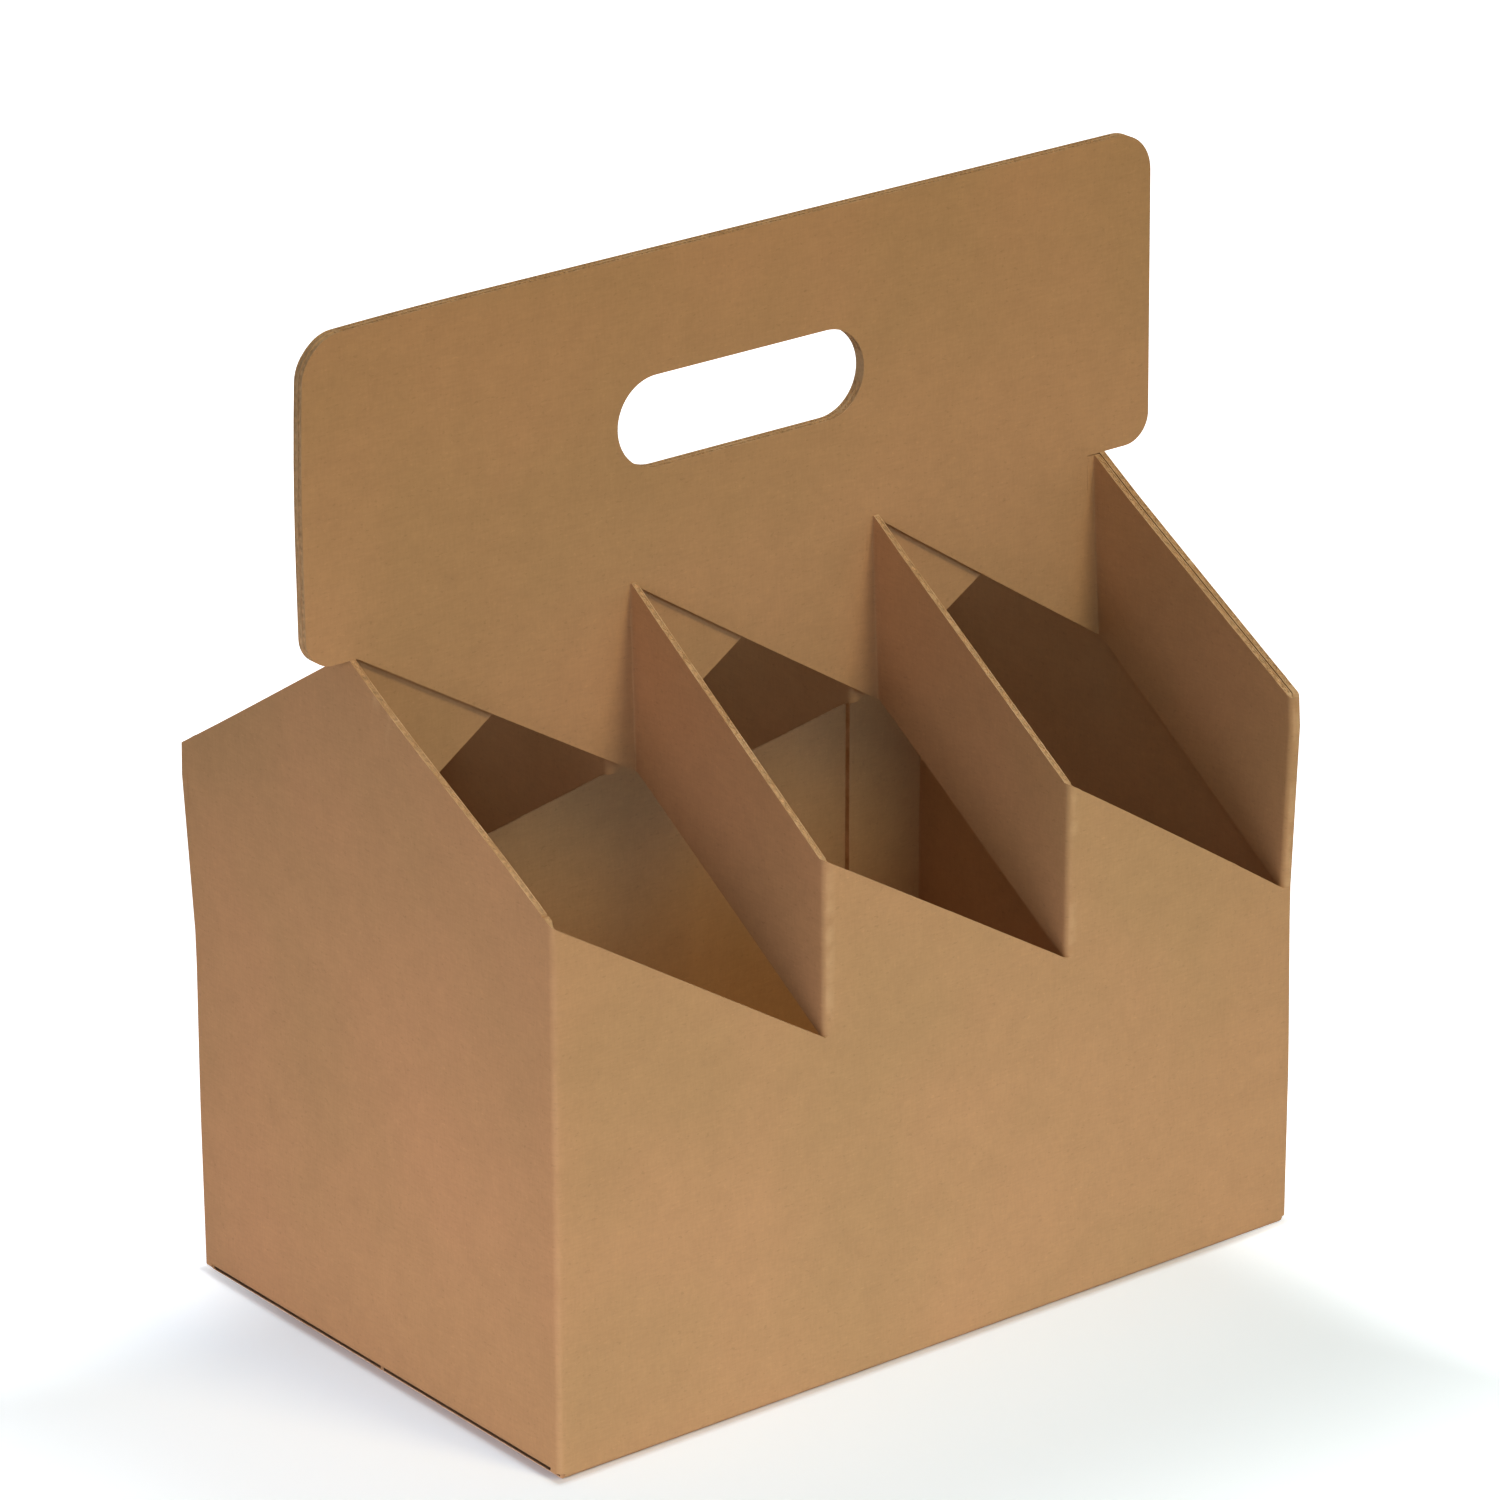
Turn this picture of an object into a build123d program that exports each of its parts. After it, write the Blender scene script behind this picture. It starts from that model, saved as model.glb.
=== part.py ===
from build123d import *
import os

os.makedirs("parts", exist_ok=True)

# Corrugated board, and how much of it stays square inside a fold
BOARD = 1.9
CREASE = 0.4

# Body, outside to outside, and the cell at the unbroken corner of each long wall
LENGTH = 272.0
DEPTH = 178.0
END_CELL = 95.0

# Heights, each counted from the one before it
DIP_HEIGHT = 109.5
TOOTH_RISE = 54.0
CORNER_STEP = 5.0
GABLE_RISE = 53.0
HANDLE_RISE = 97.0

# Handle ears and finger slot
EAR_REACH = 17.0
EAR_TOP_RADIUS = 12.5
EAR_LOW_RADIUS = 9.0
SLOT_LENGTH = 89.0
SLOT_HEIGHT = 27.6
SLOT_BELOW_TOP = 50.3

# Glue flap inside the rear right-hand corner
FLAP_WIDTH = 30.0
FLAP_MARGIN = 6.0
FLAP_TAPER = 8.0

# Folded bottom: end flaps, locking tongues and the seam between the long flaps
END_FLAP_REACH = 60.0
END_FLAP_TAPER = 34.0
END_FLAP_MARGIN = 3.0
TONGUE_REACH = 30.0
TONGUE_ROOT = 5.0
TONGUE_TAPER = 9.0
TONGUE_GAP = 2.2
SEAM_WIDTH = 0.8

# A half turn carries the front half onto the back half
HALF_TURN = 180.0

# Levels and planes worked out from the sizes above
fold_radius = BOARD - CREASE
ear_low_radius = min(EAR_LOW_RADIUS, EAR_REACH - BOARD)
strap_height = DIP_HEIGHT + TOOTH_RISE
corner_height = strap_height + CORNER_STEP
apex_height = corner_height + GABLE_RISE
handle_top = apex_height + HANDLE_RISE
right = LENGTH / 2
left = -right
back = DEPTH / 2
front = -back
inside_right = right - BOARD
strap_right = inside_right - BOARD
ear_right = right + EAR_REACH
strap_pitch = (LENGTH - END_CELL) / 2
folds = [left + END_CELL, left + END_CELL + strap_pitch]
fall = BOARD * TOOTH_RISE / strap_pitch


def long_sheet(outline, start, thickness):
    """Upright sheet along the length: outline in x and z, thickness in y."""
    wire = Polyline(*[(x, start, z) for x, z in outline], close=True)
    return extrude(make_face(wire), amount=thickness, dir=(0, 1, 0))


def cross_sheet(outline, start, thickness):
    """Upright sheet across the depth: outline in y and z, thickness in x."""
    wire = Polyline(*[(start, y, z) for y, z in outline], close=True)
    return extrude(make_face(wire), amount=thickness, dir=(1, 0, 0))


def flat_sheet(outline, start, thickness):
    """Lying sheet: outline in x and y, thickness in z."""
    wire = Polyline(*[(x, y, start) for x, y in outline], close=True)
    return extrude(make_face(wire), amount=thickness, dir=(0, 0, 1))


def turned(shape):
    """The same shape on the opposite side of the carrier."""
    return shape.rotate(Axis.Z, HALF_TURN)


def both_sides(shape):
    """A shape together with its turned copy."""
    return shape + turned(shape)


# Open tray: four walls and the outer layer of the bottom, rounded at its folds
block = extrude(Rectangle(LENGTH, DEPTH), amount=apex_height)
outer_folds = block.edges().filter_by(Axis.Z) + block.faces().sort_by(Axis.Z)[0].edges()
block = fillet(outer_folds, fold_radius)
hollow = extrude(Rectangle(2 * inside_right, DEPTH - 2 * BOARD), amount=apex_height)
body = block - Pos(0, 0, BOARD) * hollow

# Saw-tooth cut along each long wall, clear of the corners where the straps fold in
outline = [(left - BOARD, corner_height), (left, corner_height)]
for fold in folds:
    outline += [(fold, DIP_HEIGHT), (fold + BOARD, DIP_HEIGHT)]
    outline += [(fold + BOARD, strap_height - fall)]
outline += [(strap_right, DIP_HEIGHT), (inside_right, DIP_HEIGHT)]
outline += [(inside_right, handle_top), (left - BOARD, handle_top)]
body = body - both_sides(long_sheet(outline, front - BOARD, 2 * BOARD))


def strap(fold, peak):
    """Strap folded in from the front wall, and turned again where it meets the handle."""
    edge = [(front, peak), (front, DIP_HEIGHT), (front + BOARD, DIP_HEIGHT)]
    edge += [(0, strap_height), (0, apex_height)]
    band = cross_sheet(edge, fold, BOARD)
    uprights = band.edges().filter_by(Axis.Z).group_by(Axis.Y)
    wall_fold = uprights[0].sort_by(Axis.X)[0]
    handle_fold = uprights[-1].sort_by(Axis.X)[-1]
    return fillet([wall_fold, handle_fold], fold_radius)


# Dividing straps, and one more that lies flat against the inside of each end
for fold in folds:
    body = body + both_sides(strap(fold, strap_height))
body = body + both_sides(strap(strap_right, apex_height))

# The falling edge of each tooth, carried across the folded corner
for fold, foot in zip(folds, folds[1:] + [strap_right]):
    wedge = [(fold, strap_height), (foot, DIP_HEIGHT), (foot, apex_height), (fold, apex_height)]
    body = body - both_sides(long_sheet(wedge, front - BOARD, 2 * BOARD))

# Gables of both ends
gable = [(front - BOARD, corner_height), (front, corner_height), (-BOARD, apex_height)]
gable += [(-BOARD, handle_top), (front - BOARD, handle_top)]
body = body - both_sides(cross_sheet(gable, left - BOARD, LENGTH + 2 * BOARD))


def ear_corners(sheet, place):
    """The two outermost corners of the handle, lowest for place 0 and highest for -1."""
    rows = sheet.edges().filter_by(Axis.Y).group_by(Axis.X)
    return [row.sort_by(Axis.Z)[place] for row in (rows[0], rows[-1])]


# Handle of two plies, the lower edge of each cut in the same teeth as its wall
outline = [(-ear_right, apex_height), (left, apex_height)]
for fold in folds + [strap_right]:
    outline += [(fold, strap_height), (fold, apex_height)]
outline += [(ear_right, apex_height), (ear_right, handle_top), (-ear_right, handle_top)]
ply = long_sheet(outline, -BOARD, BOARD)
ply = fillet(ear_corners(ply, -1), EAR_TOP_RADIUS)
ply = fillet(ear_corners(ply, 0), ear_low_radius)

# Finger slot through both plies
slot = Plane.XZ * Pos(0, handle_top - SLOT_BELOW_TOP) * SlotOverall(SLOT_LENGTH, SLOT_HEIGHT)
body = body + (both_sides(ply) - extrude(slot, amount=2 * BOARD, both=True))

# End flaps of the bottom, glued down on the long flaps
flap_half = back - BOARD - END_FLAP_MARGIN
flap_end = inside_right - END_FLAP_REACH
outline = [(inside_right, -flap_half), (flap_end, END_FLAP_TAPER - flap_half)]
outline += [(flap_end, flap_half - END_FLAP_TAPER), (inside_right, flap_half)]
body = body + both_sides(flat_sheet(outline, BOARD, BOARD))

# Tongues that lock the long flaps to each other across the seam
tongue_end = flap_end - TONGUE_GAP
tongue_side = TONGUE_REACH - TONGUE_TAPER
outline = [(TONGUE_GAP, -TONGUE_ROOT), (tongue_end, -TONGUE_ROOT), (tongue_end, tongue_side)]
outline += [(tongue_end - TONGUE_TAPER, TONGUE_REACH), (TONGUE_GAP + TONGUE_TAPER, TONGUE_REACH)]
outline += [(TONGUE_GAP, tongue_side)]
body = body + both_sides(flat_sheet(outline, BOARD, BOARD))

# Seam between the two long flaps, open to the ground
body = body - Pos(0, 0, BOARD / 2) * Box(2 * inside_right, SEAM_WIDTH, BOARD)

# Glue flap of the right-hand end, flat against the inside of the back wall
flap_left = inside_right - FLAP_WIDTH
flap_foot = 2 * BOARD + FLAP_MARGIN
flap_head = corner_height - FLAP_MARGIN
flap_fall = FLAP_WIDTH * (corner_height - DIP_HEIGHT) / END_CELL
outline = [(inside_right, flap_foot), (inside_right, flap_head)]
outline += [(flap_left, flap_head - flap_fall), (flap_left, flap_foot + FLAP_TAPER)]
body = body + long_sheet(outline, back - 2 * BOARD, BOARD)

export_step(body, "parts/carrier.step")
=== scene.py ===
import math
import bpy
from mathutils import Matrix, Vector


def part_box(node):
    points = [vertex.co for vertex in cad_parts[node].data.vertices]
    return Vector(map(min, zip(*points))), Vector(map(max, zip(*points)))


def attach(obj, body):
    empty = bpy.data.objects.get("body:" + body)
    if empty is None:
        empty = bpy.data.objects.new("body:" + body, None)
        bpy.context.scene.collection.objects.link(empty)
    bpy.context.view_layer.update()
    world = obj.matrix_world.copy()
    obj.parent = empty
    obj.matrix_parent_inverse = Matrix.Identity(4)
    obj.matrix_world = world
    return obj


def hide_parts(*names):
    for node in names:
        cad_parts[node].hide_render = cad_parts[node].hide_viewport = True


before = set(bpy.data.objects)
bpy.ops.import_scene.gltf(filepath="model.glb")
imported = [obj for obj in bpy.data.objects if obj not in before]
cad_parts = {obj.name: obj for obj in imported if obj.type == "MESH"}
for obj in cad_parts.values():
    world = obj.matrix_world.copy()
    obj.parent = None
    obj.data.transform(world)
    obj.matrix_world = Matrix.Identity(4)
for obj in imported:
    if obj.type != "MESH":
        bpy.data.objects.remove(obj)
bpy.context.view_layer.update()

from types import SimpleNamespace

import bmesh
import bpy
from bpy.props import FloatProperty, FloatVectorProperty, IntProperty, PointerProperty
from mathutils import Quaternion, Vector

bl_info = {
    "name": "Kraft carry carton",
    "version": (1, 0, 0),
    "blender": (4, 5, 0),
    "location": "3D View > Sidebar > Carton",
    "description": "Folds a six-cell carry carton from corrugated kraft board and sets it on a white floor",
    "category": "Object",
}

# The solid model's own box, kept before anything is added
NODE_LOW, NODE_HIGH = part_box("carrier")

# A millimetre in metres, how close two places are to count as one, and a quarter turn
MM = 0.001
NEAR = 1e-5
QUARTER = math.pi / 2

# How a field of board starts: turned to face the front, the left, or down
FRONT = (QUARTER, 0, 0)
LEFT = (QUARTER, 0, -QUARTER)
DOWN = (2 * QUARTER, 0, 0)

# Where the two finishes of a cut edge sit in a piece's material slots, after the liner
CUT, HOLLOW = 1, 2

# How far a face's normal points along an axis: hardly, at a slant, mainly, and straight
HARDLY, SLANTED, MAINLY, STRAIGHT = 0.1, 0.3, 0.9, 0.99

# How rubbed the board is: along the body's folds, along a strap's fold, and at a worn spot
RUBBED_FOLD, RUBBED_STRAP, WORN = 0.15, 0.6, 1.0
RUBBED_SHARE = 0.55  # of a fold's radius
SMOOTH_ANGLE = math.radians(30)

# Points along, across and up the cage that leans the walls, and how many rows above the foot lean
CAGE = (4, 2, 7)
LEANING_ROWS = 3

# Each lamp: where it hangs, what it points at and how wide it is, in metres
LAMPS = {
    "key": ((0.25, -1.15, 1.25), (0, 0, 0.15), 0.35),
    "wash": ((0.1, -0.95, 0.3), (0, -0.09, -0.03), 0.5),
    "fill": ((-0.75, -0.27, 0.3), (-0.14, -0.02, -0.03), 0.35),
    "rim": ((0.4, 1.3, 0.9), (0, 0, 0.12), 1.0),
}


def length(name, description, default):
    """A size in metres that a user can change."""
    return FloatProperty(name=name, description=description, default=default, unit="LENGTH", precision=4)


def lengths(name, description, default):
    """A row of lengths in metres that a user can change."""
    return FloatVectorProperty(name=name, description=description, default=default, unit="LENGTH",
                               size=len(default), precision=4)


def power(name, description, default):
    """A lamp's power that a user can change."""
    return FloatProperty(name=name, description=description, default=default, min=0, unit="POWER")


def turn(name, description, degrees):
    """An angle that a user can change."""
    return FloatProperty(name=name, description=description, default=math.radians(degrees), subtype="ANGLE")


def colour(name, description, default):
    """A surface colour that a user can change, in linear light."""
    return FloatVectorProperty(name=name, description=description, default=default, subtype="COLOR",
                               size=3, min=0, max=1)


class CartonSizes(bpy.types.PropertyGroup):
    """Sizes of the folded sheet."""

    board: length("Board", "Thickness of the corrugated board", 1.9 * MM)
    liner: length("Liner", "Thickness of each facing of the board", 0.3 * MM)
    medium: length("Medium", "Thickness of the fluted paper between the facings", 0.2 * MM)
    flute: length("Flute", "Distance from one flute to the next", 3.4 * MM)
    hollow: length("Hollow", "How far a cut edge opens into the flutes", 0.2 * MM)
    channel: length("Channel", "How far the ends of the bottom flaps open along a flute", 2.5 * MM)
    fold: length("Fold radius", "Outer radius of a fold", 2.1 * MM)
    crease: length("Crease radius", "Inner radius of the folds at the handle", 0.5 * MM)
    tab: length("Tab", "Flat stretch of board beside a fold", 2.0 * MM)
    row: length("Row", "Height of one row of faces in a field", 12.0 * MM)
    depth: length("Depth", "Outside depth of the body", NODE_HIGH.y - NODE_LOW.y)
    ear: length("Ear", "How far the handle reaches past each end", 17.0 * MM)
    span: length("Handle length", "Length of the handle over both ears", NODE_HIGH.x - NODE_LOW.x)
    end_cell: length("End cell", "Length of the cell at the unbroken corner", 95.0 * MM)
    dip: length("Dip", "Height of the low point of each tooth", 109.5 * MM)
    strap: length("Strap height", "Height of a tooth's tip, where a strap folds in", 163.5 * MM)
    corner: length("Corner height", "Height of the body's corners", 168.5 * MM)
    apex: length("Apex height", "Height of the gable's tip and of the ears' lower edge", 221.5 * MM)
    top: length("Height", "Height of the handle's top edge", NODE_HIGH.z)
    ear_top: length("Ear top radius", "Rounding of the handle's upper corners", 12.5 * MM)
    ear_low: length("Ear low radius", "Rounding of the ears' lower corners", 9.0 * MM)
    slot_length: length("Slot length", "Length of the finger slot", 89.0 * MM)
    slot_height: length("Slot height", "Height of the finger slot", 27.6 * MM)
    slot_drop: length("Slot drop", "From the top edge down to the middle of the slot", 50.3 * MM)
    seam: length("Seam", "Gap between the two long flaps of the bottom", 0.8 * MM)
    flap_reach: length("End flap", "How far an end flap reaches in over the bottom", 60.0 * MM)
    flap_taper: length("End flap taper", "How much each side of an end flap draws in", 34.0 * MM)
    tongue_reach: length("Tongue", "How far a locking tongue reaches past the seam", 30.0 * MM)
    tongue_root: length("Tongue root", "How far a tongue starts before the seam", 5.0 * MM)
    tongue_taper: length("Tongue taper", "Cut-off corners of a tongue", 9.0 * MM)
    tongue_gap: length("Tongue gap", "Room beside a tongue", 2.2 * MM)
    glue_width: length("Glue flap", "Width of the glue flap", 30.0 * MM)
    glue_margin: length("Glue flap margin", "How far the glue flap stays inside the wall's ends", 6.0 * MM)
    glue_taper: length("Glue flap taper", "Slant of the glue flap's lower end", 8.0 * MM)
    bow: length("Bow", "How far the left end's gable has bowed outwards", 2.5 * MM)
    worn_spots: lengths("Worn spots", "How far each worn spot lies from the tip of the left gable",
                        (12.0 * MM, 17.0 * MM))
    blunt: lengths("Blunt corner", "How far the handle's upper left corner is pressed in and down",
                   (2.0 * MM, 0.0, -1.0 * MM))
    blunt_reach: length("Blunt reach", "How far the pressed corner draws the handle along", 60.0 * MM)
    front_lean: lengths("Front lean", "Lean of the front wall to the right, in four places at three heights",
                        (0.6 * MM, 0.4 * MM, 0.7 * MM, 0.7 * MM,
                         1.1 * MM, 0.7 * MM, 1.4 * MM, -0.2 * MM,
                         1.7 * MM, 1.0 * MM, 2.2 * MM, 3.1 * MM))
    back_lean: lengths("Back lean", "Lean of the back wall to the right, in four places at three heights",
                       (0.1 * MM, 0.2 * MM, 0.5 * MM, 0.7 * MM,
                        1.1 * MM, 0.3 * MM, 1.0 * MM, 1.4 * MM,
                        -2.0 * MM, 0.5 * MM, 1.6 * MM, 2.1 * MM))
    fold_steps: IntProperty(name="Fold steps", description="Faces round a quarter fold", default=6, min=2)
    round_steps: IntProperty(name="Round steps", description="Faces round a corner of the handle",
                             default=14, min=3)


class CartonColours(bpy.types.PropertyGroup):
    """Colours of the board and of the stage, in linear light."""

    liner: colour("Liner", "Kraft facing of the board", (0.485, 0.287, 0.134))
    liner_warm: colour("Warm liner", "Warmer patches of the facing", (0.515, 0.29, 0.14))
    cut: colour("Cut edge", "Raw cut edge and rubbed fibres", (0.68, 0.45, 0.245))
    hollow: colour("Hollow", "Inside of the flutes", (0.6, 0.39, 0.2))
    # painted shade: near-black colour in the flutes of the bottom channels, standing in for the shade of the
    # gap under the carton's foot
    soil: colour("Soil", "Inside of the flutes at the bottom, where dirt gathers", (0.13, 0.08, 0.045))
    floor: colour("Floor", "White studio floor", (0.86, 0.86, 0.86))
    backdrop: colour("Backdrop", "Background, and the floor away from the carton", (1.0, 1.0, 1.0))
    # painted light: tint of the glow added to the floor where it is seen directly, set against the warm key
    # lamp so the floor's shadow stays neutral
    floor_lift: colour("Floor lift", "Tint that keeps the floor's shadow neutral", (0.58, 0.8, 0.92))
    key: colour("Key light", "Warm light of the lamp high in front", (1.0, 0.8, 0.42))
    wash: colour("Wash light", "Light of the narrow lamp on the front wall", (0.62, 0.82, 1.0))
    fill: colour("Fill light", "Light of the lamp beside the left end", (1.0, 0.88, 0.96))
    rim: colour("Rim light", "Light of the lamp behind", (1.0, 1.0, 1.0))


class CartonStage(bpy.types.PropertyGroup):
    """Lamps, floor and camera."""

    ambient: FloatProperty(name="Ambient", description="Even light from all round", default=0.25, min=0)
    key: power("Key", "Power of the lamp high in front", 7.6)
    wash: power("Wash", "Power of the lamp on the front wall", 0.33)
    fill: power("Fill", "Power of the lamp beside the left end", 0.285)
    rim: power("Rim", "Power of the lamp behind", 4.0)
    key_spread: turn("Key spread", "How far the key lamp fans out", 180)
    wash_spread: turn("Wash spread", "How far the wash lamp fans out", 35)
    fill_spread: turn("Fill spread", "How far the fill lamp fans out", 45)
    rim_spread: turn("Rim spread", "How far the rim lamp fans out", 180)
    # painted light: the floor glows where it is seen directly; the far glow washes out the lamps' shadow to
    # the right of, behind and away from the carton
    lift_near: FloatProperty(name="Lift", description="How far the floor by the carton is lifted to white",
                             default=0.38, min=0)
    lift_far: FloatProperty(name="Far lift", description="How far the floor away from it is lifted besides",
                            default=0.7, min=0)
    lift_edge: lengths("Lift edge", "Where the far lift starts and ends: to the right, behind, around",
                       (0.09, 0.16, 0.03, 0.13, 0.06, 0.25))
    # painted shade: the floor's glow is held back within this width of the foot, a dark contact line
    contact: length("Contact", "Width of the dark line where the carton meets the floor", 3.0 * MM)
    floor_size: length("Floor", "Side of the floor", 12.0)
    lens: FloatProperty(name="Lens", description="Focal length on a 36 mm sensor, in mm", default=182.17)
    roll: turn("Roll", "Turn of the camera about its own line of sight", -0.645)
    eye: FloatVectorProperty(name="Camera", description="Where the camera stands", subtype="TRANSLATION",
                             default=(-1.2502, -1.6298, 0.9791))
    aim: FloatVectorProperty(name="Aim", description="What the camera looks at", subtype="TRANSLATION",
                             default=(0.0037, 0.0012, 0.158))


def plan():
    """The sizes, with the planes and levels that follow from them."""
    s = bpy.context.scene.carton_sizes
    body = s.span - 2 * s.ear
    right, back = body / 2, s.depth / 2
    pitch = (body - s.end_cell) / 2
    folds = [s.end_cell - right, s.end_cell - right + pitch]
    p = SimpleNamespace(**{name: getattr(s, name) for name in CartonSizes.__annotations__})
    p.left, p.right, p.front, p.back = -right, right, -back, back
    p.folds, p.hinge = folds, s.fold + s.tab
    p.end_strap = right - 2 * s.fold
    p.stops = folds + [p.end_strap]
    p.gable = (s.apex - s.corner) / (back - s.board)
    p.crown = -s.board - s.crease
    return p


# Edit mode: choosing geometry by its place, then cutting, folding and running it on


def clear_selection():
    """Back to object mode with nothing selected."""
    if bpy.context.mode != "OBJECT":
        bpy.ops.object.mode_set(mode="OBJECT")
    bpy.ops.object.select_all(action="DESELECT")


def take(piece):
    """Select one piece alone and make it active."""
    clear_selection()
    piece.select_set(True)
    bpy.context.view_layer.objects.active = piece


def edit(piece):
    """Open one piece in edit mode."""
    take(piece)
    bpy.ops.object.mode_set(mode="EDIT")


def middle(part):
    """Middle of a vertex, an edge or a face."""
    if isinstance(part, bmesh.types.BMVert):
        return part.co
    return sum((vertex.co for vertex in part.verts), Vector()) / len(part.verts)


def anywhere(place):
    """A test that every place passes."""
    return True


def nowhere(place):
    """A test that no place passes."""
    return False


def pick(piece, kind, passes):
    """Select just the vertices, edges or faces that pass a test."""
    bpy.ops.mesh.select_mode(type=kind)
    bpy.ops.mesh.select_all(action="DESELECT")
    mesh = bmesh.from_edit_mesh(piece.data)
    for part in {"VERT": mesh.verts, "EDGE": mesh.edges, "FACE": mesh.faces}[kind]:
        if passes(part):
            part.select_set(True)
    bmesh.update_edit_mesh(piece.data)


def split(piece, point, normal, where=anywhere):
    """Cut the faces at some places along a plane, and keep both sides."""
    pick(piece, "FACE", lambda face: where(middle(face)))
    bpy.ops.mesh.bisect(plane_co=point, plane_no=normal)


def drop(piece, where):
    """Take away the faces at some places."""
    pick(piece, "FACE", lambda face: where(middle(face)))
    bpy.ops.mesh.delete(type="FACE")


def cut_off(piece, point, normal, where=anywhere):
    """Cut along a plane, and take away what lies beyond it."""
    point, normal = Vector(point), Vector(normal).normalized()
    split(piece, point, normal, where)
    drop(piece, lambda place: where(place) and (place - point).dot(normal) > 0)


def trim(piece, start, end, facing, up, where=anywhere):
    """Cut along the line from start to end, and take away what lies above it, or below it."""
    normal = (Vector(end) - Vector(start)).cross(Vector(facing))
    cut_off(piece, start, normal if (normal.z > 0) == up else -normal, where)


def turn_edge(piece, where, point, axis, angle):
    """Carry the open edges at some places round a fold, and leave the far edge selected."""
    pick(piece, "EDGE", lambda part: part.is_boundary and where(middle(part)))
    steps = max(2, round(plan().fold_steps * abs(angle) / QUARTER))
    bpy.ops.mesh.spin(steps=steps, angle=angle, center=point, axis=axis)


def run_on(step):
    """Extend the selected edges by a step."""
    bpy.ops.mesh.extrude_region_move(TRANSFORM_OT_translate={"value": step})


def grid_lines(piece, axis, start, end, spacing, where=anywhere):
    """Cut faces into even columns or rows along one axis."""
    count = max(1, round((end - start) / spacing))
    normal = Vector([float(k == axis) for k in range(3)])
    for k in range(1, count):
        split(piece, normal * (start + (end - start) * k / count), normal, where)


def start_field(name, facing, along, up, offset, columns=True):
    """A flat field of board between two spans, in columns of half a flute, facing one way at an offset."""
    p = plan()
    wide, tall = along[1] - along[0], up[1] - up[0]
    across, rise = sum(along) / 2, sum(up) / 2
    centre = {FRONT: (across, offset, rise), LEFT: (offset, across, rise),
              DOWN: (across, rise, offset)}[facing]
    clear_selection()
    count = round(wide / p.flute * 2) if columns else 1
    rows = round(tall / p.row) if columns else 1
    bpy.ops.mesh.primitive_grid_add(x_subdivisions=count, y_subdivisions=rows, size=1,
                                    location=centre, rotation=facing)
    piece = bpy.context.object
    piece.name = piece.data.name = name
    piece.scale = (wide, tall, 1)
    bpy.ops.object.transform_apply(location=True, rotation=True, scale=True)
    # The wear attribute holds rubbed wear where positive and painted shade where negative
    bpy.ops.geometry.attribute_add(name="wear", domain="POINT", data_type="FLOAT")
    for finish in (kraft_liner, kraft_cut_edge, flute_hollow):
        piece.data.materials.append(bpy.data.materials.get(finish.__name__) or finish())
    bpy.ops.object.mode_set(mode="EDIT")
    return piece


def give_thickness(piece):
    """Turn the sheet's outer face into solid board, with its rims marked as cut edges."""
    edit(piece)
    bpy.ops.mesh.select_all(action="SELECT")
    bpy.ops.mesh.remove_doubles(threshold=NEAR)
    take(piece)
    bpy.ops.object.modifier_add(type="SOLIDIFY")
    solid = piece.modifiers[-1]
    solid.thickness = plan().board
    solid.offset = -1
    solid.use_even_offset = True
    solid.material_offset_rim = CUT
    bpy.ops.object.modifier_apply(modifier=solid.name)
    edit(piece)


def open_flutes(piece, axis, depth_at, where):
    """Show the flutes in cut edges: two facings, a zigzag of medium, and hollows between them."""
    p = plan()
    step, smallest = p.flute / 8, p.flute * p.board / 8
    pick(piece, "FACE", lambda face: face.material_index == CUT and where(middle(face), face.normal))
    bpy.ops.mesh.inset(thickness=p.liner, depth=0, use_even_offset=True)
    mesh = bmesh.from_edit_mesh(piece.data)
    strip = [face for face in mesh.faces if face.select]
    corners = {vertex for face in strip for vertex in face.verts}
    for face in strip:
        face.material_index = HOLLOW
    places = sorted({round(vertex.co[axis] / step) for vertex in corners})
    column = {}
    for place in places:
        column[place] = column.get(place - 1, len(set(column.values())))
    zigzag = {vertex for vertex in corners
              if column[round(vertex.co[axis] / step)] % 2 == (depth_at(vertex.co) < p.board / 2)}
    pick(piece, "VERT", lambda vertex: vertex in zigzag)
    bpy.ops.mesh.vert_connect()
    pick(piece, "FACE", lambda face: face.material_index == HOLLOW and face.calc_area() > smallest)
    bpy.ops.mesh.inset(thickness=p.medium / 2, depth=0, use_individual=True, use_even_offset=False)
    mesh = bmesh.from_edit_mesh(piece.data)
    for face in mesh.faces:
        if face.material_index == HOLLOW and not face.select:
            face.material_index = CUT
    bpy.ops.mesh.inset(thickness=p.medium / 8, depth=-p.hollow, use_individual=True, use_even_offset=False)


def groove_edge(piece, depth, soil, where):
    """Open a cut edge that runs along the flutes: one channel between the facings, plain or darkened with
    painted shade.
    """
    p = plan()
    pick(piece, "FACE", lambda face: face.material_index == CUT and where(middle(face), face.normal))
    bpy.ops.mesh.inset(thickness=p.liner, depth=0, use_even_offset=True)
    # painted shade: a negative wear value turns the channel's flutes towards the dark painted-shade colour
    bpy.ops.mesh.attribute_set(value_float=-soil)
    piece.active_material_index = HOLLOW
    bpy.ops.object.material_slot_assign()
    bpy.ops.mesh.inset(thickness=p.medium / 4, depth=-depth, use_even_offset=True)
    bpy.ops.mesh.attribute_set(value_float=-soil)


def rub(piece, amount, where):
    """Mark the board at some places as rubbed."""
    piece.data.attributes.active = piece.data.attributes["wear"]
    edit(piece)
    pick(piece, "VERT", lambda vertex: where(vertex.co))
    bpy.ops.mesh.attribute_set(value_float=amount)
    take(piece)


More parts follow.
